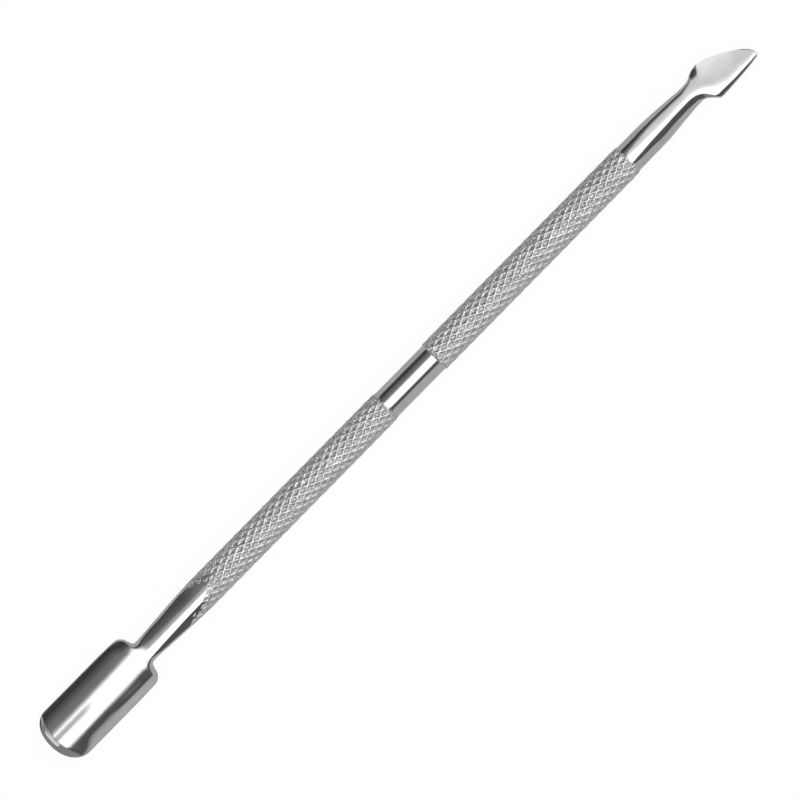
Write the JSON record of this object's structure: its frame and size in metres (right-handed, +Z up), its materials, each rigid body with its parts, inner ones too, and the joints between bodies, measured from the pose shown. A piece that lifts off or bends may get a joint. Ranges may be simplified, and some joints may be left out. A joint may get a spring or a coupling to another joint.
{
  "type": "metal spudger",
  "caption": "Double-ended metal spudger with a curved scoop blade, a flat knife blade and a knurled round handle with a plain middle band.",
  "frame": {"origin": "on the handle's axis, half-way along the tool", "axes": "+X along the tool from the scoop to the knife tip, +Z up out of the scoop's convex side, +Y towards the knife's cutting edge"},
  "size_m": [0.125, 0.0077, 0.0044],
  "materials": {
    "ground_steel": "stainless steel, ground and polished, with faint lengthwise marks",
    "turned_steel": "stainless steel, turned smooth and polished bright",
    "knurled_steel": "stainless steel, diamond knurled, satin in the pits and bright on the ridges"
  },
  "bodies": {
    "root": {"scoop_blade": "ground_steel", "scoop_neck": "ground_steel", "scoop_side_grip": "knurled_steel", "centre_band": "turned_steel", "knife_side_grip": "knurled_steel", "knife_neck": "ground_steel", "knife_blade": "ground_steel"}
  },
  "joints": []
}
